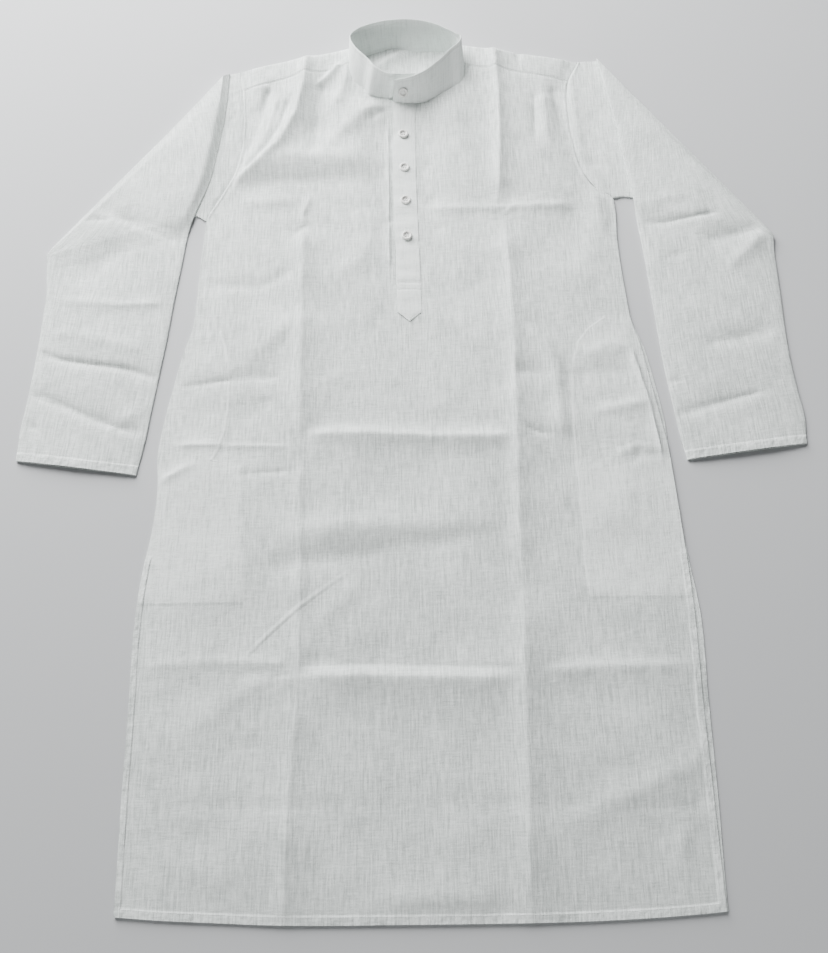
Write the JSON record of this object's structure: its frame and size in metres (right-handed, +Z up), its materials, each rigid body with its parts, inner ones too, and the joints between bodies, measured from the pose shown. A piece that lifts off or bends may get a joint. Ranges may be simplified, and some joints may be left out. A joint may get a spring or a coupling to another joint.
{
  "type": "kurta",
  "caption": "Long-sleeved white cotton kurta laid flat on its back: buttoned band collar, half placket, side slits, sleeves folded down beside the body.",
  "frame": {"origin": "middle of the garment's footprint, on the surface it lies on", "axes": "+Y from the hem towards the collar, +Z up from the surface, +X towards the wearer's left sleeve"},
  "size_m": [0.935, 1.125, 0.0408],
  "materials": {
    "cotton": "off-white slubbed plain-weave cotton, matt",
    "collar_cotton": "the same cotton, doubled and stiffened",
    "placket_cotton": "the same cotton, doubled and stitched along its edges",
    "pocket_cotton": "the same cotton, two layers",
    "button": "off-white, softly glossy, with a raised rim and four holes"
  },
  "bodies": {
    "root": {"back_body": "cotton", "front_body": "cotton", "yoke": "cotton", "sleeve_left": "cotton", "sleeve_right": "cotton", "collar_band": "collar_cotton", "placket_under": "placket_cotton", "placket_over": "placket_cotton", "pocket_bag_left": "pocket_cotton", "pocket_bag_right": "pocket_cotton", "button_1": "button", "button_2": "button", "button_3": "button", "button_4": "button", "button_5": "button"}
  },
  "joints": []
}
